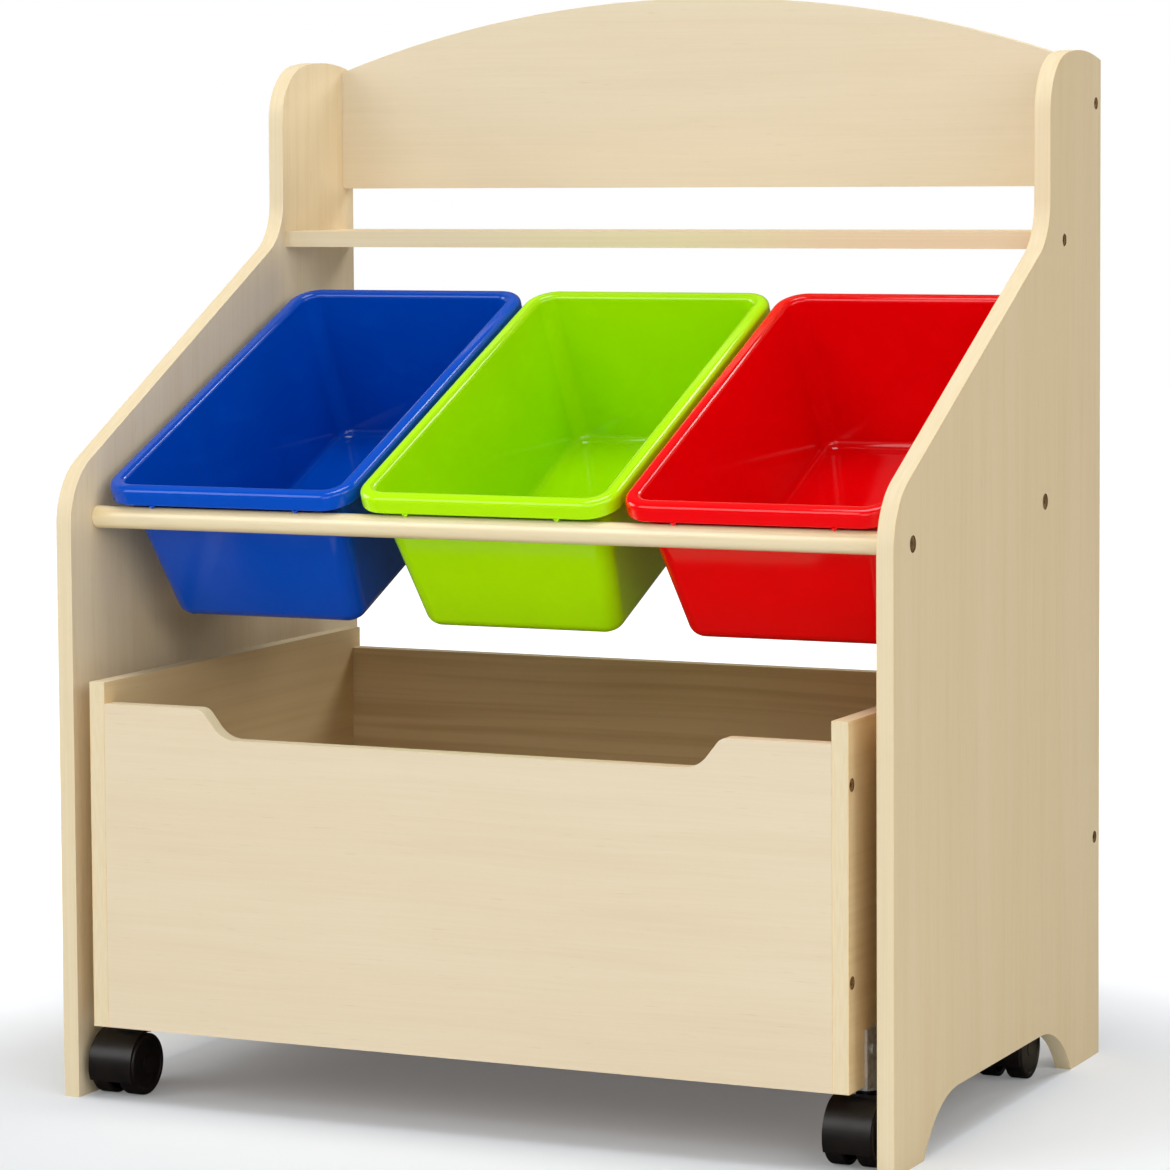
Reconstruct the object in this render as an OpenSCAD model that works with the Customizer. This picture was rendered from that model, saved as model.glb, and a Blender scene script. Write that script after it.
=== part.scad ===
/* [Boards] */
// Thickness of every laminated board
panel_t = 12; // [10:0.5:16]
// Depth of the side panels, front edge to back edge
side_d = 430; // [415:1:480]
// Rise of the rounded top's crown above the shoulder
post_rise = 301; // [270:1:350]
// Depth of the narrow upper post, measured from the back edge
post_d = 115; // [100:1:130]
// Height at which the sloping edge would meet the front edge
shoulder_h = 439; // [425:1:460]
// Angle of the sloping edge above level
slope_angle = 28.1; // [24:0.1:32]
// Radius that rounds the slope into the front edge
shoulder_r = 52; // [20:1:90]
// Radius of the hollow between the slope and the post
crook_r = 42; // [15:1:60]
// Radius of the front corner of the rounded top
top_r = 44; // [25:1:55]
// Radius of the flat crown across the top
crown_r = 180; // [120:1:400]
// Distance of the crown's highest point from the back edge
crown_back = 48; // [20:1:60]
// Height of the cut-out between the feet
foot_gap_h = 37.5; // [15:0.5:60]
// Radius of the cut-out's ends
foot_gap_r = 80; // [60:1:110]
// Length of the front foot on the floor
foot_front = 56; // [30:1:90]
// Length of the back foot on the floor
foot_back = 65; // [30:1:100]

/* [Back boards and shelf] */
// Distance of the back boards from the side panels' back edge
back_inset = 5; // [1:0.5:10]
// Height of the arched board at its ends
arch_end_h = 91; // [70:1:120]
// How far the arched board's ends lie below the side panels' crown
arch_drop = 7; // [4:0.5:12]
// Rise of the arch from its ends to its middle
arch_rise = 52; // [20:1:90]
// Open gap between the shelf and the arched board
shelf_gap = 32; // [15:1:60]
// Distance of the shelf's front edge behind the post's front edge
shelf_setback = 3; // [0:0.5:10]
// Height of the lower back rail's middle above the floor
rail_z = 163; // [120:1:220]
// Height of the lower back rail
rail_h = 60; // [50:1:100]

/* [Rods] */
// Diameter of the two bin rods
rod_d = 16; // [12:0.5:20]
// Distance of the front rod behind the side panels' front edge
rod_front_y = 36; // [25:1:45]
// How far the front rod lies below the shoulder's height
rod_front_drop = 27; // [22:1:50]
// Distance of the rear rod behind the side panels' front edge
rod_rear_y = 305; // [240:1:310]

/* [Bins] */
// Width of a bin over its rim
bin_w = 196; // [150:1:230]
// Length of a bin over its rim
bin_l = 330; // [290:1:340]
// Depth of a bin under the top of its rim
bin_depth = 117; // [90:1:130]
// Tilt of a bin down towards the front
bin_tilt = 24; // [20:0.5:30]
// Wall thickness of a bin
bin_wall = 2.2; // [1.6:0.1:3]
// How far the rim stands out from the body
bin_flange = 9; // [7:0.5:14]
// Height of the skirt that hangs from the rim
bin_skirt = 12.5; // [8:0.5:18]
// Slope of the bin's walls
bin_draft = 7; // [3:0.5:10]
// Corner radius of the rim
bin_corner_r = 22; // [14:1:35]
// Radius of the body's lower corners
bin_floor_r = 14; // [8:1:25]
// Height of the easing between the walls and the floor of a bin
bin_floor_ease = 6; // [2:0.5:12]
// Gap between neighbouring bins
bin_gap = 5; // [2:0.5:12]
// Gap between the first bin and the left side panel
bin_left_gap = 7; // [1:0.5:12]
// Gap between the last bin and the right side panel
bin_right_gap = 1; // [0.8:0.1:10]
// Distance of the two rim nibs from a bin's middle
nib_x = 57.5; // [30:0.5:70]
// Diameter of a nib at its root
nib_d = 5; // [3:0.5:7]
// Height of a nib under the skirt
nib_h = 2; // [1:0.1:4]

/* [Toy box] */
// Gap between the toy box and each side panel
box_side_gap = 17; // [14:0.5:25]
// Gap between the toy box and the lower back rail behind it
box_back_gap = 34; // [20:1:90]
// How far the toy box stands in front of the side panels
box_proud = 6; // [0:0.5:20]
// Height of the toy box's two sides
box_side_h = 245; // [200:1:255]
// Height of the toy box's front and back
box_front_h = 230; // [180:1:240]
// Depth of the dip in the toy box's front
scoop_depth = 21; // [17:1:60]
// Width of the dip at its bottom
scoop_w = 338; // [200:1:400]
// Steepest angle of the dip's ends
scoop_angle = 52; // [30:1:60]
// Radius at the foot of the dip's ends
scoop_foot_r = 22; // [10:1:25]
// Radius at the top of the dip's ends
scoop_lip_r = 9; // [4:1:15]
// Thickness of the toy box's floor
floor_t = 3; // [2.5:0.1:6]
// Height of the floor above the box's lower edges
floor_up = 12; // [8:0.5:25]
// Depth of the grooves that hold the floor
groove_d = 5; // [3:0.5:6]

/* [Casters] */
// Radius of a caster wheel
wheel_r = 22; // [18:0.5:25]
// Width of one wheel of a pair
wheel_w = 13.5; // [10:0.5:15]
// Free space between the two wheels of a pair
wheel_gap = 9; // [8.6:0.1:12]
// Wall thickness of a wheel's face and rim
wheel_wall = 3; // [2:0.5:4]
// Distance of the axle in front of the swivel
caster_trail = 14; // [10:0.5:18]
// Distance of the front swivels behind the toy box's front
caster_front_inset = 48; // [40:1:90]
// Distance of the rear swivels before the toy box's back
caster_back_inset = 40; // [30:1:90]
// Gap between the wheels and the hood
hood_gap = 0.8; // [0.5:0.1:2]
// Thickness of the hood
hood_t = 2; // [1.5:0.1:3]
// How far the hood reaches below the axle's level in front, as an angle
hood_low_angle = 24; // [0:1:40]
// How far the hood stands in from the wheels' outer faces
hood_inset = 1; // [0.5:0.1:3]
// Diameter of the swivel stem
stem_d = 6; // [4:0.1:6.4]
// Diameter of the wheel axle
axle_d = 4; // [3:0.1:6]
// Height of the swivel collar
collar_t = 3.5; // [2:0.1:6]
// Diameter of the swivel collar
collar_d = 17; // [12:0.5:18]
// Sheet thickness of the caster bracket
bracket_t = 2; // [1.5:0.1:3]
// Width of the caster bracket
bracket_w = 40; // [34:1:50]
// Height of the bracket's leg on the box's side
bracket_h = 38; // [32:1:50]

/* [Fasteners] */
// Diameter of the connecting bolts
bolt_d = 5; // [4:0.5:6]
// Shaft length of the connecting bolts
bolt_l = 40; // [30:1:50]
// Head diameter of the board bolts
bolt_head_d = 8.4; // [7:0.1:10]
// Head diameter of the rod bolts
rod_bolt_head_d = 11; // [9:0.1:13]
// Head height of the bolts
bolt_head_h = 2.5; // [2:0.1:3.5]
// Depth of the bolts' head pockets
pocket_depth = 3; // [2:0.1:5]
// Diameter of the wooden dowels
dowel_d = 8; // [6:0.5:8]
// Length of the wooden dowels
dowel_l = 30; // [24:1:40]
// Diameter of the bracket screws
bracket_screw_d = 4; // [3:0.1:5]

/* [Clearances] */
// Radial gap of a bolt in its side panel hole and of its head in its pocket
bolt_clear = 0.2; // [0.1:0.05:0.4]
// Gap between a bin and each rod
seat_gap = 0.3; // [0.2:0.05:0.6]
// Radial running gap of the wheels and swivels
running_gap = 0.05; // [0.03:0.01:0.1]
// End gap between turning caster pieces
end_gap = 0.3; // [0.2:0.05:0.6]
// Gap between the floor's edge and the bottom of its groove
groove_gap = 0.5; // [0.2:0.1:1]
// Height gap of the floor in its groove
groove_play = 0.2; // [0.1:0.05:0.4]

/* [Hidden] */

$fn = 48;
// Steps of a rounded outline
arc_steps = 14;
// Overlap of a cutting shape past the face that it cuts
cut = 1;
// Sides of a bin's rounded corners
corner_fn = 32;

maple = [0.89, 0.83, 0.70];
rod_wood = [0.93, 0.86, 0.70];
hardboard = [0.62, 0.48, 0.33];
zinc = [0.72, 0.72, 0.70];
bronze = [0.42, 0.31, 0.18];
black = [0.08, 0.07, 0.06];
blue = [0.0, 0.19, 0.60];
green = [0.53, 0.80, 0.02];
red = [0.85, 0.0, 0.04];

// The three bins set the width of the bay between the side panels
bay_w = 3 * bin_w + 2 * bin_gap + bin_left_gap + bin_right_gap;
cabinet_w = bay_w + 2 * panel_t;
// The front edge of the side panels: the toy box stands box_proud before it,
// and the whole object's box is centred on the origin
front_y = -(side_d - box_proud) / 2;
rod_r = rod_d / 2;
rod_front_z = shoulder_h - rod_front_drop;

// Side panel outline
side_h = shoulder_h + post_rise;
post_y = side_d - post_d;
slope_top_z = shoulder_h + post_y * tan(slope_angle);
crook_tangent = crook_r * tan((90 - slope_angle) / 2);
shoulder_tangent = shoulder_r * tan((90 - slope_angle) / 2);
foot_run = sqrt(pow(foot_gap_r, 2) - pow(foot_gap_r - foot_gap_h, 2));
foot_angle = atan2(foot_gap_r - foot_gap_h, foot_run);
crown_y = side_d - crown_back;
crown_z = side_h - crown_r;
top_y = post_y + top_r;
top_z = crown_z + sqrt(pow(crown_r - top_r, 2) - pow(crown_y - top_y, 2));
crown_start = acos(crown_back / crown_r);
crown_end = atan2(top_z - crown_z, top_y - crown_y);

// Back boards and shelf
board_back_y = side_d - back_inset;
board_mid_y = board_back_y - panel_t / 2;
arch_end_z = side_h - arch_drop;
arch_low_z = arch_end_z - arch_end_h;
arch_r = (pow(bay_w / 2, 2) + pow(arch_rise, 2)) / (2 * arch_rise);
arch_angle = asin(bay_w / 2 / arch_r);
shelf_top_z = arch_low_z - shelf_gap;
shelf_mid_z = shelf_top_z - panel_t / 2;
shelf_front_y = post_y + shelf_setback;

// Bolt and dowel places, as [distance from the front edge, height]
arch_bolt_drop = 31;
arch_dowel_up = 24;
shelf_bolt_in = 29;
shelf_dowel_in = 25;
rail_dowel_drop = rail_h / 3;
board_bolt_at = [
    [board_mid_y, arch_end_z - arch_bolt_drop],
    [shelf_front_y + shelf_bolt_in, shelf_mid_z],
    [board_mid_y, rail_z]
];
dowel_at = [
    [board_mid_y, arch_low_z + arch_dowel_up],
    [board_back_y - shelf_dowel_in, shelf_mid_z],
    [board_mid_y, rail_z - rail_dowel_drop]
];
bolt_in_board = bolt_l - (panel_t - pocket_depth);
dowel_in_side = 8;
socket_d = 4;
socket_depth = 1.6;

// A bin's own frame: Y runs up its tilted rim, Z is square to the rim, and
// the origin is the rim's top front edge
nib_y = bin_wall / 2;
bin_lift = rod_r + seat_gap + nib_h + bin_skirt;
bin_y = rod_front_y - nib_y * cos(bin_tilt) - bin_lift * sin(bin_tilt);
bin_z = rod_front_z - nib_y * sin(bin_tilt) + bin_lift * cos(bin_tilt);
bin_pitch = bin_w + bin_gap;
first_bin_x = -bay_w / 2 + bin_left_gap + bin_w / 2;
rod_rear_z = bin_z + ((rod_rear_y - bin_y) * sin(bin_tilt)
    - (bin_depth + rod_r + seat_gap)) / cos(bin_tilt);
rod_bolt_at = [[rod_front_y, rod_front_z], [rod_rear_y, rod_rear_z]];

// Casters, from the floor up
hood_r = wheel_r + hood_gap + hood_t;
hood_top_z = wheel_r + hood_r;
boss_rise = 1.4;
boss_top_z = hood_top_z + boss_rise;
boss_low_z = 2 * wheel_r + end_gap;
boss_d = 15;
neck_d = wheel_gap - 2 * end_gap;
stem_up = 5;
stem_low_z = wheel_r + stem_up;
stem_floor = 2;
collar_low_z = boss_top_z + end_gap;
tab_low_z = collar_low_z + collar_t;
hub_wall = 3;
hub_r = axle_d / 2 + hub_wall;
hub_inset = 0.5;
web_wall = 5;
web_r = hub_r + web_wall;
web_tuck = 1;
axle_end_gap = 0.2;
wheel_edge_r = 2;
wheel_lip = 1;
wheel_dish = 0.8;
tab_reach = 8;
bracket_hole_in = 9;
bracket_hole_x = bracket_w / 2 - bracket_hole_in;
bracket_hole_drop = 14;
bracket_hole_up = bracket_h - bracket_hole_drop;
bracket_screw_l = 8;
bracket_head_d = 7;
bracket_head_h = 1.6;
screw_slot_l = 4;
screw_slot_w = 0.8;

// Toy box
box_low_z = tab_low_z + bracket_t;
box_l = board_back_y - panel_t - box_back_gap + box_proud;
box_w = bay_w - 2 * box_side_gap;
box_in_w = box_w - 2 * panel_t;
box_y = front_y - box_proud;
scoop_bend = scoop_foot_r + scoop_lip_r;
scoop_straight = (scoop_depth - scoop_bend * (1 - cos(scoop_angle))) / sin(scoop_angle);
scoop_run = scoop_bend * sin(scoop_angle) + scoop_straight * cos(scoop_angle);
floor_low_z = box_low_z + floor_up;
box_screw_up = [73, 203];
caster_x = box_w / 2 - panel_t / 2;
caster_front_y = box_y + caster_front_inset;
caster_back_y = box_y + box_l - caster_back_inset;

// Points of a circle's arc from angle a to angle b
function arc(y, z, r, a, b) =
    [for (i = [0 : arc_steps]) let (t = a + (b - a) * i / arc_steps) [y + r * cos(t), z + r * sin(t)]];

// Draws its children on the right, and mirrored on the left
module both_sides() {
    children();
    mirror([1, 0, 0]) children();
}

// Turns a shape made along +Z so that it lies along +X, y behind the front edge
module across(x, y, z) {
    translate([x, front_y + y, z]) rotate([0, 90, 0]) children();
}

// A countersunk machine bolt: the head's seat is at the origin, the head up
module bolt(head_d) {
    difference() {
        cylinder(h = bolt_head_h, d = head_d);
        translate([0, 0, bolt_head_h - socket_depth])
            cylinder(h = socket_depth + cut, d = socket_d, $fn = 6);
    }
    translate([0, 0, -bolt_l]) cylinder(h = bolt_l, d = bolt_d);
}

// The hole and head pocket that a bolt needs in an outer board
module bolt_hole(head_d) {
    cylinder(h = pocket_depth + cut, d = head_d + 2 * bolt_clear);
    translate([0, 0, -panel_t]) cylinder(h = panel_t + cut, d = bolt_d + 2 * bolt_clear);
}

// The side panel's outline, as [distance from the front edge, height]
module side_outline() {
    polygon(concat(
        [[0, 0]],
        arc(foot_front + foot_run, foot_gap_h - foot_gap_r, foot_gap_r, 180 - foot_angle, 90),
        arc(side_d - foot_back - foot_run, foot_gap_h - foot_gap_r, foot_gap_r, 90, foot_angle),
        [[side_d, 0]],
        arc(crown_y, crown_z, crown_r, crown_start, crown_end),
        arc(top_y, top_z, top_r, crown_end, 180),
        arc(post_y - crook_r, slope_top_z + crook_tangent, crook_r, 0, slope_angle - 90),
        arc(shoulder_r, shoulder_h - shoulder_tangent, shoulder_r, 90 + slope_angle, 180)
    ));
}

module side_panel() {
    seat_x = cabinet_w / 2 - pocket_depth;
    difference() {
        translate([bay_w / 2, front_y, 0])
            rotate([90, 0, 90]) linear_extrude(panel_t) side_outline();
        for (p = board_bolt_at) across(seat_x, p[0], p[1]) bolt_hole(bolt_head_d);
        for (p = rod_bolt_at) across(seat_x, p[0], p[1]) bolt_hole(rod_bolt_head_d);
        for (p = dowel_at) across(bay_w / 2 - cut, p[0], p[1]) cylinder(h = dowel_in_side + cut, d = dowel_d);
    }
}

module side_left() {
    color(maple) mirror([1, 0, 0]) side_panel();
}

module side_right() {
    color(maple) side_panel();
}

// Holes that the bolts and dowels need in the ends of a board between the sides
module end_holes(bolts, dowels) {
    both_sides() {
        for (p = bolts) across(bay_w / 2 - bolt_in_board, p[0], p[1])
            cylinder(h = bolt_in_board + cut, d = bolt_d);
        for (p = dowels) across(bay_w / 2 - (dowel_l - dowel_in_side), p[0], p[1])
            cylinder(h = dowel_l - dowel_in_side + cut, d = dowel_d);
    }
}

module arch_board() {
    top_z = arch_end_z + arch_rise;
    color(maple) difference() {
        translate([0, front_y + board_back_y, 0]) rotate([90, 0, 0]) linear_extrude(panel_t)
            polygon(concat(
                [[bay_w / 2, arch_low_z], [bay_w / 2, arch_end_z]],
                [for (i = [1 - arc_steps : arc_steps - 1]) let (a = -arch_angle * i / arc_steps)
                    [arch_r * sin(a), top_z - arch_r * (1 - cos(a))]],
                [[-bay_w / 2, arch_end_z], [-bay_w / 2, arch_low_z]]
            ));
        end_holes([board_bolt_at[0]], [dowel_at[0]]);
    }
}

module top_shelf() {
    color(maple) difference() {
        translate([-bay_w / 2, front_y + shelf_front_y, shelf_top_z - panel_t])
            cube([bay_w, board_back_y - shelf_front_y, panel_t]);
        end_holes([board_bolt_at[1]], [dowel_at[1]]);
    }
}

module lower_rail() {
    color(maple) difference() {
        translate([-bay_w / 2, front_y + board_back_y - panel_t, rail_z - rail_h / 2])
            cube([bay_w, panel_t, rail_h]);
        end_holes([board_bolt_at[2]], [dowel_at[2]]);
    }
}

module bin_rod(place) {
    color(rod_wood) difference() {
        across(-bay_w / 2, place[0], place[1]) cylinder(h = bay_w, d = rod_d);
        end_holes([place], []);
    }
}

module board_bolts() {
    color(bronze) both_sides()
        for (p = board_bolt_at) across(cabinet_w / 2 - pocket_depth, p[0], p[1]) bolt(bolt_head_d);
}

module rod_bolts() {
    color(bronze) both_sides()
        for (p = rod_bolt_at) across(cabinet_w / 2 - pocket_depth, p[0], p[1]) bolt(rod_bolt_head_d);
}

module dowels() {
    color(rod_wood) both_sides()
        for (p = dowel_at) across(bay_w / 2 + dowel_in_side - dowel_l, p[0], p[1])
            cylinder(h = dowel_l, d = dowel_d);
}

// Places of the toy box's corner screws, as [distance from the cabinet's front edge, height]
box_screw_at = [
    for (y = [panel_t / 2, box_l - panel_t / 2], up = box_screw_up) [y - box_proud, box_low_z + up]
];

// The groove that holds the floor, as the slab that it takes from the panels
module floor_groove() {
    translate([-box_in_w / 2 - groove_d, box_y + panel_t - groove_d, floor_low_z])
        cube([box_in_w + 2 * groove_d, box_l - 2 * (panel_t - groove_d), floor_t + groove_play]);
}

module box_screw_holes() {
    both_sides() for (p = box_screw_at)
        across(box_w / 2 - panel_t - bolt_in_board, p[0], p[1]) cylinder(h = bolt_in_board + cut, d = bolt_d);
}

// A box panel across the front or back, face is the y of its front face
module box_cross_panel(face) {
    difference() {
        translate([-box_in_w / 2, face, box_low_z]) cube([box_in_w, panel_t, box_front_h]);
        floor_groove();
        box_screw_holes();
    }
}

// The dip in the front panel: two arcs and a straight at each end
module scoop_outline() {
    low = box_low_z + box_front_h - scoop_depth;
    high = box_low_z + box_front_h;
    foot_x = scoop_w / 2;
    lip_x = foot_x + scoop_run;
    right_end = concat(
        arc(foot_x, low + scoop_foot_r, scoop_foot_r, -90, scoop_angle - 90),
        arc(lip_x, high - scoop_lip_r, scoop_lip_r, 90 + scoop_angle, 90)
    );
    left_end = [for (i = [len(right_end) - 1 : -1 : 0]) [-right_end[i][0], right_end[i][1]]];
    polygon(concat(right_end, [[lip_x, high + cut], [-lip_x, high + cut]], left_end));
}

module box_front() {
    color(maple) difference() {
        box_cross_panel(box_y);
        translate([0, box_y + panel_t + cut, 0])
            rotate([90, 0, 0]) linear_extrude(panel_t + 2 * cut) scoop_outline();
    }
}

module box_back() {
    color(maple) box_cross_panel(box_y + box_l - panel_t);
}

module box_side() {
    difference() {
        translate([box_w / 2 - panel_t, box_y, box_low_z]) cube([panel_t, box_l, box_side_h]);
        floor_groove();
        for (p = box_screw_at) across(box_w / 2 - pocket_depth, p[0], p[1]) bolt_hole(bolt_head_d);
        for (y = [caster_front_y, caster_back_y]) translate([caster_x, y, 0])
            bracket_screw_places() translate([0, 0, -bracket_screw_l])
                cylinder(h = bracket_screw_l + cut, d = bracket_screw_d);
    }
}

module box_left() {
    color(maple) mirror([1, 0, 0]) box_side();
}

module box_right() {
    color(maple) box_side();
}

module box_floor() {
    edge = groove_d - groove_gap;
    color(hardboard)
        translate([-box_in_w / 2 - edge, box_y + panel_t - edge, floor_low_z])
            cube([box_in_w + 2 * edge, box_l - 2 * (panel_t - edge), floor_t]);
}

module box_screws() {
    color(bronze) both_sides()
        for (p = box_screw_at) across(box_w / 2 - pocket_depth, p[0], p[1]) bolt(bolt_head_d);
}

// Caster pieces stand in a frame whose Z axis is the swivel's axis, with the
// outside of the toy box towards +X and the axle in front, towards -Y

// Puts its children on one of the four swivels
module at_caster(right, front) {
    translate([0, front ? caster_front_y : caster_back_y, 0])
        mirror([right ? 0 : 1, 0, 0]) translate([caster_x, 0, 0]) children();
}

// Puts its children, made along +Z, where the bracket's screws enter the box's side
module bracket_screw_places() {
    for (y = [-bracket_hole_x, bracket_hole_x])
        translate([panel_t / 2, y, box_low_z + bracket_hole_up]) rotate([0, 90, 0]) children();
}

module bracket() {
    color(zinc) difference() {
        union() {
            translate([panel_t / 2, -bracket_w / 2, tab_low_z])
                cube([bracket_t, bracket_w, bracket_h + bracket_t]);
            translate([-tab_reach, -bracket_w / 2, tab_low_z])
                cube([tab_reach + panel_t / 2 + bracket_t, bracket_w, bracket_t]);
            translate([0, 0, collar_low_z]) cylinder(h = collar_t, d = collar_d);
        }
        translate([0, 0, collar_low_z - cut])
            cylinder(h = collar_t + bracket_t + 2 * cut, d = stem_d);
        bracket_screw_places() translate([0, 0, -cut])
            cylinder(h = bracket_t + 2 * cut, d = bracket_screw_d + 2 * bolt_clear);
    }
}

module bracket_screws() {
    color(zinc) for (right = [true, false], front = [true, false]) at_caster(right, front)
        bracket_screw_places() {
            translate([0, 0, -bracket_screw_l])
                cylinder(h = bracket_screw_l + bracket_t, d = bracket_screw_d);
            translate([0, 0, bracket_t]) difference() {
                cylinder(h = bracket_head_h, d = bracket_head_d);
                for (turn = [0, 90]) rotate([0, 0, turn])
                    translate([-screw_slot_l / 2, -screw_slot_w / 2, bracket_head_h / 2])
                        cube([screw_slot_l, screw_slot_w, bracket_head_h]);
            }
        }
}

module stem() {
    color(zinc) translate([0, 0, stem_low_z]) cylinder(h = box_low_z - stem_low_z, d = stem_d);
}

// The hood's outline across the axle, with the front to the left of the page
module hood_sector(inner_r) {
    far = 2 * hood_r;
    past_top = 14;
    difference() {
        circle(r = hood_r);
        circle(r = inner_r);
        polygon([
            [0, 0], [-far * cos(hood_low_angle), -far * sin(hood_low_angle)],
            [-far, -far], [far, -far], [far, far],
            [far * tan(past_top), far]
        ]);
    }
}

// Extrudes an outline drawn across the axle over a width centred on the swivel
module over_axle(width) {
    translate([-width / 2, -caster_trail, wheel_r]) rotate([90, 0, 90]) linear_extrude(width) children();
}

module hood() {
    full_w = wheel_gap + 2 * wheel_w - 2 * hood_inset;
    color(black) difference() {
        union() {
            over_axle(full_w) hood_sector(wheel_r + hood_gap);
            over_axle(neck_d) {
                circle(r = web_r);
                hood_sector(axle_d);
                polygon([
                    [0, 0], [caster_trail, 0],
                    [caster_trail, boss_low_z - wheel_r], [0, hood_r - web_tuck]
                ]);
            }
            translate([0, 0, boss_low_z]) cylinder(h = boss_top_z - boss_low_z, d = boss_d);
            translate([0, 0, stem_low_z - stem_floor])
                cylinder(h = boss_top_z - stem_low_z + stem_floor, d = neck_d);
        }
        translate([0, 0, stem_low_z - end_gap])
            cylinder(h = boss_top_z, d = stem_d + 2 * running_gap);
        over_axle(neck_d + 2 * cut) circle(d = axle_d);
    }
}

module axle() {
    length = wheel_gap + 2 * (wheel_w - wheel_wall - axle_end_gap);
    color(zinc) over_axle(length) circle(d = axle_d);
}

// One wheel of the pair: a cup with its face outwards and a hub on the axle
module wheel() {
    rim_in = wheel_r - wheel_wall;
    face_in = wheel_w - wheel_wall;
    color(black)
        translate([wheel_gap / 2, -caster_trail, wheel_r]) rotate([0, 90, 0])
            rotate_extrude() polygon([
                [axle_d / 2 + running_gap, hub_inset],
                [hub_r, hub_inset],
                [hub_r, face_in],
                [rim_in, face_in],
                [rim_in, 0],
                [wheel_r - wheel_edge_r, 0],
                [wheel_r, wheel_edge_r],
                [wheel_r, wheel_w - wheel_edge_r],
                [wheel_r - wheel_edge_r, wheel_w],
                [rim_in - wheel_lip, wheel_w],
                [rim_in - wheel_lip - wheel_dish, wheel_w - wheel_dish],
                [0, wheel_w - wheel_dish],
                [0, face_in],
                [axle_d / 2 + running_gap, face_in]
            ]);
}

module outer_wheel() {
    wheel();
}

module inner_wheel() {
    mirror([1, 0, 0]) wheel();
}

// Height where a bin's wall is a given distance in from the rim's edge
function bin_in(down) = bin_flange + max(down, 0) * tan(bin_draft);

// Four upright cylinders at the corners of a bin's outline at one depth
module bin_corners(inset, down, r, h) {
    for (x = [-1, 1], y = [0, 1])
        translate([
            x * (bin_w / 2 - inset - r),
            y ? bin_l - inset - r : inset + r,
            -down
        ]) cylinder(h = h, r = r, $fn = corner_fn);
}

// A tapered tub that follows the bin's walls, grown inwards by the wall
module bin_tub(wall, top, bottom) {
    slice = 0.01;
    hull() {
        bin_corners(bin_in(0) + wall, -top, bin_corner_r - bin_flange - wall / 2, slice);
        bin_corners(bin_in(bottom - bin_floor_ease) + wall, bottom - bin_floor_ease, bin_floor_r - wall / 2, slice);
        bin_corners(bin_in(bottom) + wall + bin_floor_ease / 2, bottom, bin_floor_r - bin_floor_ease / 2, slice);
    }
}

// A solid rim or skirt outline, inset from the rim's edge
module bin_rim(inset, down, height) {
    hull() bin_corners(inset, down, bin_corner_r - inset, height);
}

module bin(slot) {
    translate([first_bin_x + slot * bin_pitch, front_y + bin_y, bin_z]) rotate([bin_tilt, 0, 0])
        difference() {
            union() {
                bin_rim(0, bin_wall, bin_wall);
                difference() {
                    bin_rim(0, bin_skirt, bin_skirt);
                    bin_rim(bin_wall, bin_skirt + cut, bin_skirt + cut - bin_wall);
                }
                bin_tub(0, 0, bin_depth);
                for (x = [-nib_x, nib_x]) translate([x, nib_y, -bin_skirt - nib_h])
                    cylinder(h = nib_h, d1 = bin_wall, d2 = nib_d, $fn = 24);
            }
            bin_tub(bin_wall, cut, bin_depth - bin_wall);
        }
}

module bin_blue() {
    color(blue) bin(0);
}

module bin_green() {
    color(green) bin(1);
}

module bin_red() {
    color(red) bin(2);
}

side_left();
side_right();
arch_board();
top_shelf();
lower_rail();
bin_rod(rod_bolt_at[0]);  // front_rod
bin_rod(rod_bolt_at[1]);  // rear_rod
board_bolts();
rod_bolts();
dowels();
box_front();
box_back();
box_left();
box_right();
box_floor();
box_screws();
bracket_screws();
at_caster(false, true) bracket();  // bracket_fl
at_caster(true, true) bracket();  // bracket_fr
at_caster(false, false) bracket();  // bracket_rl
at_caster(true, false) bracket();  // bracket_rr
at_caster(false, true) stem();  // stem_fl
at_caster(true, true) stem();  // stem_fr
at_caster(false, false) stem();  // stem_rl
at_caster(true, false) stem();  // stem_rr
at_caster(false, true) hood();  // hood_fl
at_caster(true, true) hood();  // hood_fr
at_caster(false, false) hood();  // hood_rl
at_caster(true, false) hood();  // hood_rr
at_caster(false, true) axle();  // axle_fl
at_caster(true, true) axle();  // axle_fr
at_caster(false, false) axle();  // axle_rl
at_caster(true, false) axle();  // axle_rr
at_caster(false, true) outer_wheel();  // wheel_fl_outer
at_caster(false, true) inner_wheel();  // wheel_fl_inner
at_caster(true, true) outer_wheel();  // wheel_fr_outer
at_caster(true, true) inner_wheel();  // wheel_fr_inner
at_caster(false, false) outer_wheel();  // wheel_rl_outer
at_caster(false, false) inner_wheel();  // wheel_rl_inner
at_caster(true, false) outer_wheel();  // wheel_rr_outer
at_caster(true, false) inner_wheel();  // wheel_rr_inner
bin_blue();
bin_green();
bin_red();
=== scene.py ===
import math

import bmesh
import bpy
import numpy as np
from mathutils import Matrix, Vector


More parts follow.
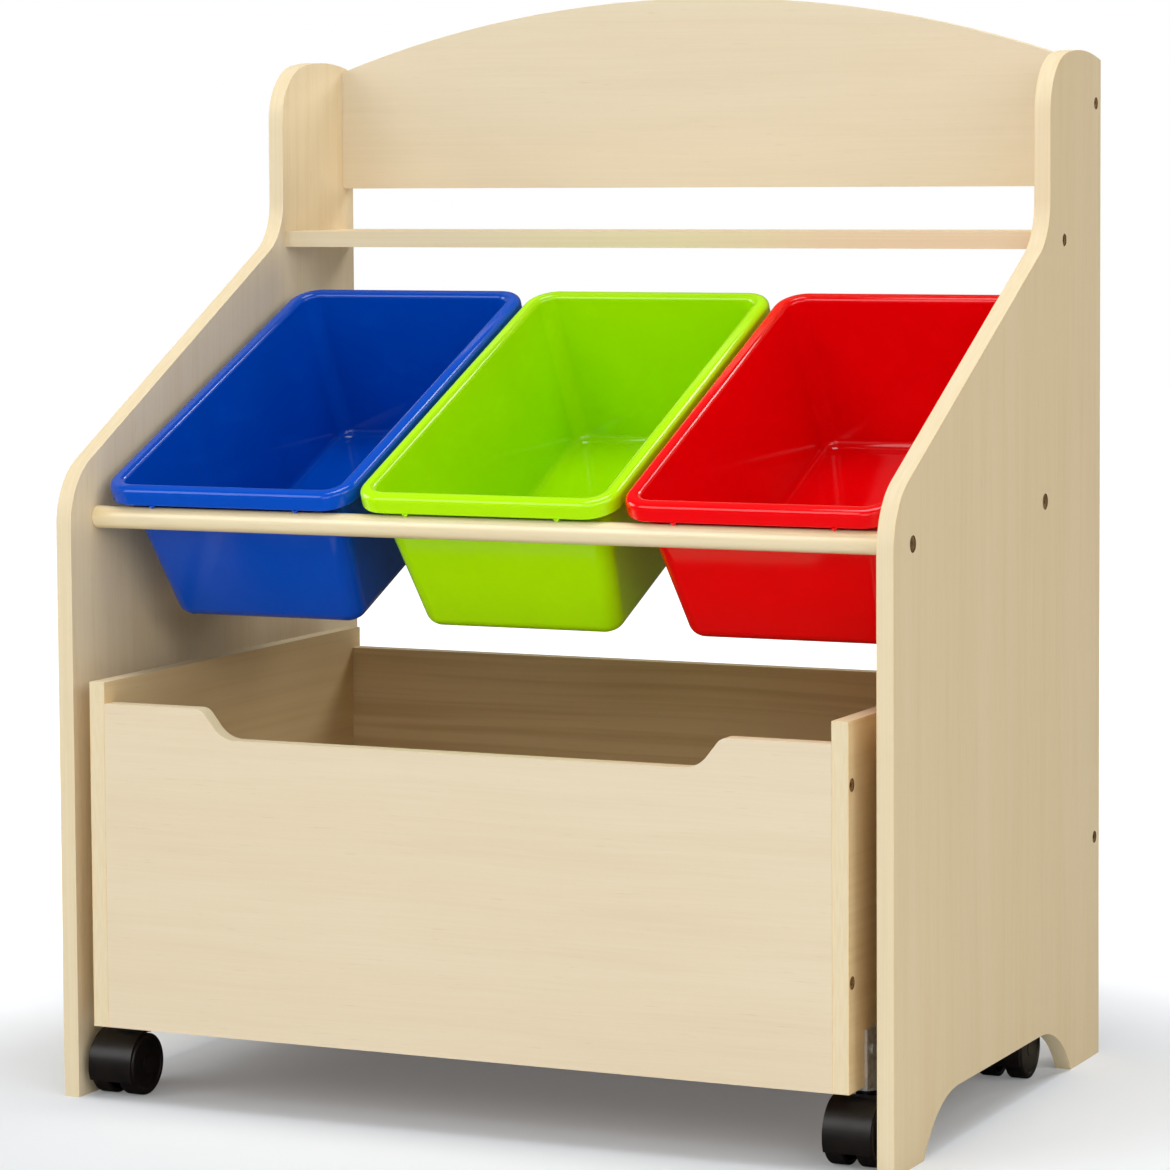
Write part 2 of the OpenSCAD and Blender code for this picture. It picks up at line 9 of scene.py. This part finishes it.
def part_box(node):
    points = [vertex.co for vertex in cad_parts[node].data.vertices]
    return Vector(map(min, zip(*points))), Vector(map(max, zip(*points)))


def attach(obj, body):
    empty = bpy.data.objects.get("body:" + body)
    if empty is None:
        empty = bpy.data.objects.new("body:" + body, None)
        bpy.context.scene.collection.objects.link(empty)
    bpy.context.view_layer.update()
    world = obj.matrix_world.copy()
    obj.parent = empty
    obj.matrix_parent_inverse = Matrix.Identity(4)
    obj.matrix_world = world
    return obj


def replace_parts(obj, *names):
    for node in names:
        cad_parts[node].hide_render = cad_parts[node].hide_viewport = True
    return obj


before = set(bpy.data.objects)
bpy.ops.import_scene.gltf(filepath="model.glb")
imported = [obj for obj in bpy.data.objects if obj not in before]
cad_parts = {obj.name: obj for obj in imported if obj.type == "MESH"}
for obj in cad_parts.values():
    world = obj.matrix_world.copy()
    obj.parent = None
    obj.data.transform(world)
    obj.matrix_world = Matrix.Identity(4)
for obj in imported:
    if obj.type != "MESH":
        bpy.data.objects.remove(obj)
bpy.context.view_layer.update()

scene = bpy.context.scene
scene.view_settings.view_transform = "Standard"


# Camera: stands where the photograph was taken, to the right of the front and
# just below the top, with a long lens. Matched to the photograph's edges.
lens = bpy.data.cameras.new("camera")
lens.sensor_width = 36
lens.lens = 130.69
lens.shift_y = -0.1068
camera = bpy.data.objects.new("camera", lens)
camera.matrix_world = (
    Matrix.Translation((1.27705, -2.76881, 0.66183))
    @ Matrix.Rotation(math.radians(24.7833), 4, "Z")
    @ Matrix.Rotation(math.radians(90 - 4.0157), 4, "X")
    @ Matrix.Rotation(math.radians(-0.3585), 4, "Z")
)
scene.collection.objects.link(camera)
scene.camera = camera


# Side panels: 12 mm laminated boards, light maple with upright grain under satin
# lacquer, with a thin band along every edge. The bolts' pockets and the dowels'
# holes show the bare core.
class Wire:
    """A socket inside a material. Arithmetic on it adds Math nodes."""

    def __init__(self, nodes, socket):
        self.nodes = nodes
        self.socket = socket

    def math(self, operation, *values):
        return self.nodes.node("Math", {"operation": operation}, dict(enumerate(values)))

    def __add__(self, other):
        return self.math("ADD", self, other)

    __radd__ = __add__

    def __sub__(self, other):
        return self.math("SUBTRACT", self, other)

    def __rsub__(self, other):
        return self.math("SUBTRACT", other, self)

    def __mul__(self, other):
        return self.math("MULTIPLY", self, other)

    __rmul__ = __mul__

    def __pow__(self, other):
        return self.math("POWER", self, other)

    def __rpow__(self, other):
        return self.math("POWER", other, self)

    def __abs__(self):
        return self.math("ABSOLUTE", self)

    def ramp(self, low, high):
        """0 below low, 1 above high, and a soft step between them."""
        settings = {"interpolation_type": "SMOOTHSTEP"}
        return self.nodes.node("MapRange", settings, {0: self, 1: low, 2: high})


class Nodes:
    """The nodes of one material, or of the world."""

    def __init__(self, tree):
        self.tree = tree

    def put(self, socket, value):
        """Links a socket to a Wire, or gives it a plain value."""
        if isinstance(value, Wire):
            self.tree.links.new(value.socket, socket)
        else:
            socket.default_value = value

    def node(self, kind, settings, sockets, output=0):
        made = self.tree.nodes.new("ShaderNode" + kind)
        for name, value in settings.items():
            setattr(made, name, value)
        for key, value in sockets.items():
            self.put(made.inputs[key], value)
        return Wire(self, made.outputs[output])

    def mix(self, amount, first, second):
        """The first colour where amount is 0, the second where it is 1."""
        return self.node("Mix", {"data_type": "RGBA"}, {0: amount, 6: first, 7: second}, 2)

    def place(self):
        """The point's X, Y and Z in the piece's own frame, in metres."""
        point = self.node("TexCoord", {}, {}, "Object")
        return [self.node("SeparateXYZ", {}, {0: point}, axis) for axis in "XYZ"]

    def noise(self, x, y, z, detail=2.0):
        """Cloudy noise from 0 to 1, one cloud to each unit of the three coordinates."""
        point = self.node("CombineXYZ", {}, {0: x, 1: y, 2: z})
        return self.node("TexNoise", {}, {"Vector": point, "Scale": 1.0, "Detail": detail})

    def bump(self, height, distance):
        """A normal for a surface whose height runs from 0 to distance, in metres."""
        return self.node("Bump", {}, {"Strength": 1.0, "Distance": distance, "Height": height})


class Finish(Nodes):
    """A material, with its shader's sockets set by name."""

    def __init__(self, name):
        self.material = bpy.data.materials.new(name)
        self.material.use_nodes = True
        super().__init__(self.material.node_tree)

    def set(self, **sockets):
        shader = self.tree.nodes["Principled BSDF"]
        for name, value in sockets.items():
            self.put(shader.inputs[name.replace("_", " ")], value)
        return self


def colour(red, green, blue):
    """A colour as it looks on screen, 0 to 255, turned into what shaders take."""
    screen = np.array([red, green, blue]) / 255
    return (*np.where(screen > 0.04045, ((screen + 0.055) / 1.055) ** 2.4, screen / 12.92).tolist(), 1.0)


board_half = 0.006
board_ease = 0.0008


def laminate(name, along, through, middle, shade_and_tone_share=0.0, shade_and_tone=(234, 196, 126), veins=0.0):
    """Maple with its grain along one axis, for boards that lie across another axis.

    Middle is how far the board's middle lies from zero on that axis, on either side.
    The share, 0 to 1, is how far the board leans to a second tone given with it.
    On the right side panel and on the toy box's back and sides that tone is painted
    warm shade; on the toy box's front and the crosswise boards it is a tone of their
    own. Veins is how strongly its dark veins show. Besides them the grain is four
    layers of noise stretched along it: soft streaks, wavy figure, fine fibres and
    short dark flecks. The band on the edges has its own fibres.
    """
    made = Finish(name)
    place = made.place()
    run, depth = place[along], place[through]
    across = place[3 - along - through]
    wander = made.noise(run * 2.2, across * 5, depth * 9)
    bent = across + wander * 0.02
    streak = made.noise(run * 1.7, bent * 26, depth * 31, 3.0)
    figure = made.noise(run * 5, bent * 90, depth * 43, 3.0)
    fibre = made.noise(run * 11, bent * 620, depth * 97)
    fleck = made.noise(run * 44, bent * 830, depth * 61).ramp(0.66, 0.78)
    grey = made.noise(run * 0.9, across * 7, depth * 17)
    face = made.mix(streak.ramp(0.3, 0.7), colour(234, 216, 182), colour(231, 211, 174))
    face = made.mix(figure.ramp(0.42, 0.75) * 0.55, face, colour(225, 203, 164))
    face = made.mix(grey.ramp(0.4, 0.75) * 0.35, face, colour(225, 211, 181))
    face = made.mix(fibre.ramp(0.35, 0.75) * 0.3, face, colour(241, 225, 195))
    face = made.mix(fleck * 0.5, face, colour(206, 184, 146))
    # Leans the board to its second tone: painted warm shade on some boards, a tone of their own on
    # others.
    face = made.mix(shade_and_tone_share, face, colour(*shade_and_tone))
    if veins:
        vein = made.noise(run * 1.9, bent * 110, depth * 23, 3.0).ramp(0.42, 0.66)
        face = made.mix(vein * (0.3 + streak) * veins, face, colour(176, 132, 70))
    band_fibre = made.noise(run * 5, across * 60, depth * 700)
    band = made.mix(band_fibre.ramp(0.3, 0.7), colour(234, 217, 181), colour(230, 211, 172))
    on_band = 1 - abs(abs(depth) - middle).ramp(board_half - board_ease, board_half - board_ease / 2)
    bored = made.node("Attribute", {"attribute_name": "bored"}, {}, "Fac")
    chip = made.noise(run * 900, across * 900, depth * 900)
    core = made.mix(chip, colour(122, 92, 58), colour(78, 54, 30))
    return made.set(
        Base_Color=made.mix(bored, made.mix(on_band, face, band), core),
        Roughness=0.44 + fibre * 0.1 + bored * 0.3,
        Specular_IOR_Level=0.22,
        Normal=made.bump(fibre + fleck * -0.6, 0.00004),
    )


def piece(name, mesh, body, finish):
    """A new object that rides on a CAD body and takes its finish from a slot."""
    made = bpy.data.objects.new(name, mesh)
    scene.collection.objects.link(made)
    mesh.materials.append(finish.material)
    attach(made, body)
    return made


head_bore = 0.0062
end_bore = 0.0042
bore_face_area = 0.0002


def eased(node, body, finish, width, bores=(), bore_radius=head_bore):
    """Stands for a CAD node: the same solid with a narrow rounded edge all round.

    Bores are the places of holes that run along X, as (Y, Z). The small faces
    inside them are marked, so that the finish can show what the board is made of.
    """
    work = bmesh.new()
    work.from_mesh(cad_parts[node].data)
    bmesh.ops.remove_doubles(work, verts=work.verts, dist=1e-6)
    bmesh.ops.dissolve_limit(work, angle_limit=math.radians(0.3), verts=work.verts, edges=work.edges)
    mesh = bpy.data.meshes.new(node + "_eased")
    work.to_mesh(mesh)
    work.free()
    for attribute in ("custom_normal", "sharp_face", "sharp_edge"):
        if attribute in mesh.attributes:
            mesh.attributes.remove(mesh.attributes[attribute])
    mesh.shade_smooth()
    if bores:
        centre = np.zeros((len(mesh.polygons), 3), np.float32)
        area = np.zeros(len(mesh.polygons), np.float32)
        mesh.polygons.foreach_get("center", centre.ravel())
        mesh.polygons.foreach_get("area", area)
        off = centre[:, None, 1:] - np.array(bores, np.float32)[None]
        inside = (np.hypot(off[..., 0], off[..., 1]).min(1) < bore_radius) & (area < bore_face_area)
        mesh.attributes.new("bored", "FLOAT", "FACE").data.foreach_set("value", inside.astype(np.float32))
    made = piece(node + "_eased", mesh, body, finish)
    bevel = made.modifiers.new("eased edges", "BEVEL")
    bevel.width = width
    bevel.segments = 2
    bevel.angle_limit = math.radians(32)
    bevel.harden_normals = True
    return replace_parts(made, node)


# The holes for the rods' bolts, and those for the boards' bolts and dowels, as (Y, Z).
rod_holes = [(-0.176, 0.412), (0.093, 0.41957)]
board_holes = [
    (0.207, 0.702), (0.135, 0.604), (0.207, 0.163),
    (0.207, 0.666), (0.188, 0.604), (0.207, 0.143),
]
# The right panel leans 0.24 to the warm tone: painted warm shade for its outer face on the shaded side.
for side, shade_and_tone_share in (("side_left", 0.0), ("side_right", 0.24)):
    upright = laminate("maple_" + side, along=2, through=0, middle=0.309, shade_and_tone_share=shade_and_tone_share)
    eased(side, "cabinet", upright, board_ease, rod_holes + board_holes)


# Arched board, shelf and lower rail: the same board with its grain across,
# between the side panels, each held by two bolts and kept level by dowels.
crosswise = laminate(
    "maple_crosswise", along=0, through=1, middle=0.207, shade_and_tone_share=0.45, shade_and_tone=(219, 209, 188),
)
for board in ("arch_board", "lower_rail"):
    eased(board, "cabinet", crosswise, board_ease, board_holes, end_bore)
flatwise = laminate("maple_flatwise", along=0, through=2, middle=0.604)
eased("top_shelf", "cabinet", flatwise, board_ease, board_holes, end_bore)


# Rods: turned hardwood under clear gloss lacquer, bolted between the side
# panels. They carry the bins. The dowels are turned from the same wood.
def turned_wood(name, roughness):
    """Pale wood with straight grain along X: long soft streaks, pores and lacquer with faint waves."""
    made = Finish(name)
    x, y, z = made.place()
    streak = made.noise(x * 2.5, y * 160, z * 160, 3.0)
    pore = made.noise(x * 30, y * 1100, z * 1100).ramp(0.64, 0.8)
    tone = made.mix(streak.ramp(0.3, 0.72), colour(248, 231, 190), colour(237, 214, 162))
    tone = made.mix(pore * 0.45, tone, colour(196, 164, 112))
    wave = made.noise(x * 18, y * 60, z * 60)
    return made.set(
        Base_Color=tone,
        Roughness=roughness + streak * 0.08,
        Coat_Weight=1.0 - pore * 0.4,
        Coat_Roughness=0.25,
        Normal=made.bump(wave + pore * -0.4, 0.00005),
    )


rod_finish = turned_wood("rod_lacquer", roughness=0.3)
for rod in ("front_rod", "rear_rod"):
    eased(rod, "cabinet", rod_finish, width=0.0006)
dowel_finish = turned_wood("dowel_wood", roughness=0.6)
eased("dowels", "cabinet", dowel_finish, width=0.0004)


# Connecting bolts: dark bronze plated socket heads, sunk in pockets in the
# outer faces of the side panels and of the toy box.
def plated(name, bright, dull, metal, roughness):
    """Thin metal plating: cloudy tarnish, fine drawing lines and a duller tone where it clouds."""
    made = Finish(name)
    x, y, z = made.place()
    cloud = made.noise(x * 160, y * 160, z * 160, 4.0)
    line = made.noise(x * 260, y * 260, z * 2400)
    return made.set(
        Base_Color=made.mix(cloud.ramp(0.35, 0.7), bright, dull),
        Metallic=metal - cloud * 0.1,
        Roughness=roughness + cloud * 0.18,
        Normal=made.bump(line, 0.00001),
    )


bronze = plated("bronze_plate", colour(182, 144, 96), colour(136, 102, 62), metal=0.6, roughness=0.3)
for bolts in ("board_bolts", "rod_bolts"):
    eased(bolts, "cabinet", bronze, width=0.0002)


# Bins: glossy moulded polypropylene, tilted to the front. Each hangs by its
# skirted rim on the front rod, two nibs in front, and rests on the rear rod.
def moulded(name, base, deep, light, gloss):
    """Glossy plastic: a deeper tone in slow clouds, flow marks and a faint orange-peel surface.

    Faces marked inside are painted a shade deeper, as painted shade inside the tub.
    """
    made = Finish(name)
    x, y, z = made.place()
    cloud = made.noise(x * 14, y * 14, z * 14)
    flow = made.noise(x * 60, y * 22, z * 60, 3.0)
    peel = made.noise(x * 420, y * 420, z * 420)
    scuff = made.noise(x * 900, y * 70, z * 300).ramp(0.72, 0.8)
    inside = made.node("Attribute", {"attribute_name": "inside"}, {}, "Fac")
    tone = made.mix(cloud.ramp(0.35, 0.7) * 0.4, base, deep)
    # Painted shade: the faces marked inside are darkened a sixth of the way to black.
    tone = made.mix(inside * 0.16, tone, colour(0, 0, 0))
    return made.set(
        Base_Color=made.mix(flow.ramp(0.5, 0.75) * 0.12 + scuff * 0.05, tone, light),
        Roughness=0.07 + flow * 0.05 + scuff * 0.12,
        Specular_IOR_Level=gloss,
        Normal=made.bump(peel + flow * 0.6, 0.000012),
    )


def filleted(corners):
    """A line through corners (a, b, radius), each but the ends rounded by an arc of that radius."""
    at = np.array([corner[:2] for corner in corners], float)
    line = [at[:1]]
    for before, here, after, corner in zip(at, at[1:], at[2:], corners[1:]):
        back = (before - here) / np.linalg.norm(before - here)
        ahead = (after - here) / np.linalg.norm(after - here)
        half = math.acos(np.clip(back @ ahead, -1, 1)) / 2
        middle = here + (back + ahead) / np.linalg.norm(back + ahead) * corner[2] / math.sin(half)
        start = here + back * corner[2] / math.tan(half) - middle
        end = here + ahead * corner[2] / math.tan(half) - middle
        turn = math.atan2(start[0] * end[1] - start[1] * end[0], start @ end)
        steps = max(2, round(abs(turn) / 0.2))
        angle = np.linspace(0, turn, steps + 1)[:, None]
        line.append(middle + start * np.cos(angle) + np.array([-start[1], start[0]]) * np.sin(angle))
    line.append(at[-1:])
    return np.concatenate(line)


def skin(name, rows):
    """A closed surface from rows of points that each go once round it, its two ends capped."""
    count, around = rows.shape[:2]
    corner = np.arange(count * around).reshape(count, around)
    ahead = np.roll(corner, -1, 1)
    quads = np.stack([corner[:-1], ahead[:-1], ahead[1:], corner[1:]], -1).reshape(-1, 4)
    caps = [corner[0, ::-1].tolist(), corner[-1].tolist()]
    mesh = bpy.data.meshes.new(name)
    mesh.from_pydata(rows.reshape(-1, 3), [], quads.tolist() + caps)
    work = bmesh.new()
    work.from_mesh(mesh)
    bmesh.ops.remove_doubles(work, verts=work.verts, dist=1e-6)
    if work.calc_volume(signed=True) < 0:
        bmesh.ops.reverse_faces(work, faces=work.faces)
    work.to_mesh(mesh)
    work.free()
    mesh.shade_smooth()
    return mesh


def level(made):
    """Keeps the flat faces flat between their rounded edges."""
    made.modifiers.new("flat faces", "WEIGHTED_NORMAL").weight = 80
    return made


rim_radius = 0.022
flange = 0.009
bin_width = 0.196
bin_length = 0.330
bin_depth = 0.117
wall = 0.0022
skirt = 0.0125
tilt = math.radians(24)
draft = math.tan(math.radians(7))


def bin_outline(inset, height):
    """The rim's rounded rectangle, drawn in by inset, at a height over the rim.

    On the rim and its skirt the corners' radius shrinks with the inset. In the
    body the walls lean in by the draft, and the radius doesn't shrink with that.
    """
    lean = -height * draft
    radius = rim_radius - inset + (lean if inset > flange else 0)
    angle = np.radians(np.linspace(0, 90, 11)[None] + np.array([[180], [270], [0], [90]]))
    side = np.array([[-1], [1], [1], [-1]])
    end = np.array([[0], [0], [1], [1]])
    x = side * (bin_width / 2 - inset - radius) + radius * np.cos(angle)
    y = inset + radius + end * (bin_length - 2 * (inset + radius)) + radius * np.sin(angle)
    return np.stack([x, y, np.full_like(x, height)], -1).reshape(-1, 3)


# From the floor up the inside, over the rim and its skirt and down the outside,
# as (inset, height, fillet). Its two ends are capped flat, as the floor's middle.
floor_start = flange + bin_depth * draft + 0.0115
bin_line = filleted([
    (floor_start, wall - bin_depth, 0),
    (flange + wall + (bin_depth - wall) * draft, wall - bin_depth, 0.008),
    (flange + wall, 0, 0.004),
    (0, 0, 0.0045),
    (0, -skirt, 0.00105),
    (wall, -skirt, 0.00105),
    (wall, -wall, 0.0024),
    (flange + wall * draft, -wall, 0.0015),
    (flange + bin_depth * draft, -bin_depth, 0.0102),
    (floor_start, -bin_depth, 0),
])

# A nib is turned round its own upright line, from its root in the skirt to its tip.
nib_x = 0.0575
nib_root = 0.0004 - skirt
nib_tip = -skirt - 0.002
nib_line = filleted([
    (0, nib_root, 0), (0.0025, nib_root, 0.0003), (0.0012, nib_tip, 0.0007), (0, nib_tip, 0),
])
nib_turn = np.linspace(0, 2 * math.pi, 24, endpoint=False)
for name, base, deep, light, gloss in (
    ("bin_blue", colour(0, 79, 198), colour(0, 71, 184), colour(6, 99, 210), 0.38),
    ("bin_green", colour(184, 246, 0), colour(174, 238, 0), colour(196, 250, 24), 0.42),
    ("bin_red", colour(250, 0, 8), colour(238, 0, 6), colour(252, 20, 20), 0.42),
):
    low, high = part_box(name)
    seat = (
        Matrix.Translation(((low.x + high.x) / 2, low.y, high.z - bin_length * math.sin(tilt)))
        @ Matrix.Rotation(tilt, 4, "X")
    )
    mesh = skin(name + "_shell", np.array([bin_outline(*point) for point in bin_line]))
    for x in (-nib_x, nib_x):
        nib = skin(name + "_nib", np.stack([
            x + nib_line[:, :1] * np.cos(nib_turn), wall / 2 + nib_line[:, :1] * np.sin(nib_turn),
            np.repeat(nib_line[:, 1:], len(nib_turn), 1),
        ], -1))
        work = bmesh.new()
        work.from_mesh(mesh)
        work.from_mesh(nib)
        work.to_mesh(mesh)
        work.free()
        bpy.data.meshes.remove(nib)
    # Marks the faces that look into the tub, where the finish paints shade.
    centre = np.zeros((len(mesh.polygons), 3), np.float32)
    normal = np.zeros_like(centre)
    mesh.polygons.foreach_get("center", centre.ravel())
    mesh.polygons.foreach_get("normal", normal.ravel())
    inside = ((centre - (0, bin_length / 2, 0)) * normal).sum(1) < -0.001
    mesh.attributes.new("inside", "FLOAT", "FACE").data.foreach_set("value", inside.astype(np.float32))
    mesh.transform(seat)
    shell = piece(name + "_shell", mesh, name, moulded(name + "_plastic", base, deep, light, gloss))
    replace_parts(level(shell), name)


# Toy box: four boards bolted at the corners, grain all round, with a scooped
# front. It rolls out on its own casters from under the bins.
front_middle = 0.212
back_middle = 0.161
box_holes = [(y, z) for y in (-front_middle, back_middle) for z in (0.127, 0.257)]
bracket_holes = [(y + apart, 0.078) for y in (-0.17, 0.127) for apart in (-0.011, 0.011)]
box_front = laminate(
    "maple_box_front", along=0, through=1, middle=front_middle, shade_and_tone_share=0.35, shade_and_tone=(228, 212, 188),
)
eased("box_front", "toy_box", box_front, board_ease)
# The back and sides lean half way to the warm tone: painted warm shade, as the inside of the box is in
# shade.
box_back = laminate("maple_box_back", along=0, through=1, middle=back_middle, shade_and_tone_share=0.5, veins=0.34)
eased("box_back", "toy_box", box_back, board_ease)
box_side = laminate("maple_box_side", along=1, through=0, middle=0.28, shade_and_tone_share=0.5, veins=0.16)
for board in ("box_left", "box_right"):
    eased(board, "toy_box", box_side, board_ease, box_holes + bracket_holes)
eased("box_screws", "toy_box", bronze, width=0.0002)


# Toy box floor: a thin sheet of hardboard, smooth side up, held in grooves in
# all four boards. Fine pressed fibres and faint rub marks from toys.
hardboard = Finish("hardboard")
x, y, z = hardboard.place()
felt = hardboard.noise(x * 500, y * 500, z * 500, 4.0)
patch = hardboard.noise(x * 9, y * 9, z * 9)
rub = hardboard.noise(x * 12, y * 260, z * 40).ramp(0.66, 0.8)
pressed = hardboard.mix(felt.ramp(0.3, 0.7), colour(152, 112, 68), colour(132, 94, 54))
hardboard.set(
    Base_Color=hardboard.mix(patch.ramp(0.4, 0.7) * 0.4 + rub * 0.2, pressed, colour(166, 126, 80)),
    Roughness=0.5 + felt * 0.25,
    Normal=hardboard.bump(felt, 0.00008),
)
eased("box_floor", "toy_box", hardboard, width=0.0003)


# Caster brackets: zinc plated angles, screwed to the outside of the toy box,
# with a collar under the tab for the swivel stem.
zinc = plated("zinc_plate", colour(224, 225, 223), colour(188, 190, 190), metal=0.7, roughness=0.28)
eased("bracket_screws", "toy_box", zinc, width=0.00015)
corners = ("fl", "fr", "rl", "rr")
for corner in corners:
    eased("bracket_" + corner, "toy_box", zinc, width=0.0004)
    eased("stem_" + corner, "toy_box", zinc, width=0.0003)


# Casters: a black nylon hood turns on the stem and carries a steel axle with
# two dished black wheels. The hoods are satin, the treads scuffed from use.
def nylon(name, roughness, worn):
    """Black moulded nylon: slow clouds, a fine spark-eroded grain, and scuffs where it is worn."""
    made = Finish(name)
    x, y, z = made.place()
    cloud = made.noise(x * 90, y * 90, z * 90)
    grain = made.noise(x * 2600, y * 2600, z * 2600)
    scuff = made.noise(x * 1500, y * 240, z * 240, 4.0).ramp(0.58, 0.72) * worn
    tone = made.mix(cloud.ramp(0.3, 0.7), colour(26, 20, 17), colour(18, 13, 11))
    return made.set(
        Base_Color=made.mix(scuff * 0.4, tone, colour(58, 54, 51)),
        Roughness=roughness + cloud * 0.08 + scuff * 0.2,
        Specular_IOR_Level=0.42,
        Normal=made.bump(grain + scuff, 0.00002),
    )


hood_finish = nylon("hood_nylon", roughness=0.3, worn=0.15)
wheel_finish = nylon("wheel_nylon", roughness=0.34, worn=0.6)

# A wheel's half section, as (radius, distance from the wheel's inner side, fillet):
# the axle's blind hole, the hub, the hollow round it, the tread and the dished face.
wheel_line = filleted([
    (0, 0.0105, 0), (0.00205, 0.0105, 0.0002), (0.00205, 0.0005, 0.0002), (0.005, 0.0005, 0.0003),
    (0.005, 0.0105, 0.0005), (0.019, 0.0105, 0.0008), (0.019, 0, 0.0005), (0.022, 0, 0.0012),
    (0.022, 0.0135, 0.0022), (0.018, 0.0135, 0.0005), (0.0172, 0.0127, 0.0006), (0.0062, 0.0127, 0.0006),
    (0.0056, 0.0132, 0.0004), (0, 0.0132, 0),
])
wheel_turn = np.linspace(0, 2 * math.pi, 72, endpoint=False)
for corner in corners:
    eased("hood_" + corner, "caster_" + corner, hood_finish, width=0.0005)
    eased("axle_" + corner, "caster_" + corner, zinc, width=0.0002)
    for place in ("outer", "inner"):
        wheel = f"wheel_{corner}_{place}"
        low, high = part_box(wheel)
        outwards = 1 if (corner[1] == "r") == (place == "outer") else -1
        inner_side = low.x if outwards > 0 else high.x
        rows = np.stack([
            np.repeat(inner_side + outwards * wheel_line[:, 1:], len(wheel_turn), 1),
            (low.y + high.y) / 2 + wheel_line[:, :1] * np.cos(wheel_turn),
            (low.z + high.z) / 2 + wheel_line[:, :1] * np.sin(wheel_turn),
        ], -1)
        disc = piece(wheel + "_disc", skin(wheel + "_disc", rows), wheel, wheel_finish)
        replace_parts(level(disc), wheel)


# Studio: a white floor that fades into a white surround, and seven large soft
# lamps round the object, so that its shade is soft on every side. Mirrored rays
# find the floor and the surround dimmer, so that glossy plastic keeps its colour.
ground = bpy.data.meshes.new("floor")
ground.from_pydata([(-9, -9, 0), (9, -9, 0), (9, 9, 0), (-9, 9, 0)], [], [(0, 1, 2, 3)])
floor = bpy.data.objects.new("floor", ground)
scene.collection.objects.link(floor)
paper = Finish("studio_paper")
x, y, _ = paper.place()
distance = (x * x + (y + 0.1) ** 2) ** 0.5
seen = paper.node("LightPath", {}, {}, "Is Camera Ray")
mirrored = paper.node("LightPath", {}, {}, "Is Glossy Ray")
glow = seen * (0.12 + 0.88 * distance.ramp(0.42, 1.1))
sheet = paper.mix(seen, colour(240, 244, 249), colour(221, 225, 230))
paper.set(
    Base_Color=paper.mix(mirrored, sheet, colour(80, 80, 80)),
    Roughness=0.9,
    Specular_IOR_Level=0.0,
    Emission_Color=paper.mix(glow, colour(0, 0, 0), colour(255, 255, 255)),
    Emission_Strength=1.0,
)
ground.materials.append(paper.material)

world = bpy.data.worlds.new("studio")
world.use_nodes = True
scene.world = world
surround = Nodes(world.node_tree)
camera_ray, glossy_ray, transmission_ray = [
    surround.node("LightPath", {}, {}, f"Is {kind} Ray") for kind in ("Camera", "Glossy", "Transmission")
]
direct = camera_ray.math("MAXIMUM", camera_ray, transmission_ray)
direct = direct.math("MAXIMUM", direct, glossy_ray * 0.12)
backdrop = world.node_tree.nodes["Background"]
surround.put(backdrop.inputs["Color"], (1, 1, 1, 1))
surround.put(backdrop.inputs["Strength"], direct.math("MAXIMUM", direct, 0.03))

for name, spot, size, power in (
    ("front_left", (-1.7, -2.9, 2.1), 1.8, 34),
    ("front_low", (0.4, -3.2, 0.8), 1.6, 16),
    ("front_right", (2.2, -2.6, 1.7), 1.6, 22),
    ("overhead", (0, -0.3, 2.9), 1.4, 34),
    ("right", (3.0, -0.9, 1.5), 1.6, 24),
    ("left", (-3.0, -0.6, 1.5), 1.6, 40),
    ("behind", (0.8, 1.9, 2.4), 1.2, 38),
):
    lamp = bpy.data.lights.new(name, "AREA")
    lamp.size = size
    lamp.energy = power
    light = bpy.data.objects.new(name, lamp)
    away = Vector(spot) - Vector((0, 0, 0.38))
    light.matrix_world = Matrix.Translation(spot) @ away.to_track_quat("Z", "Y").to_matrix().to_4x4()
    scene.collection.objects.link(light)
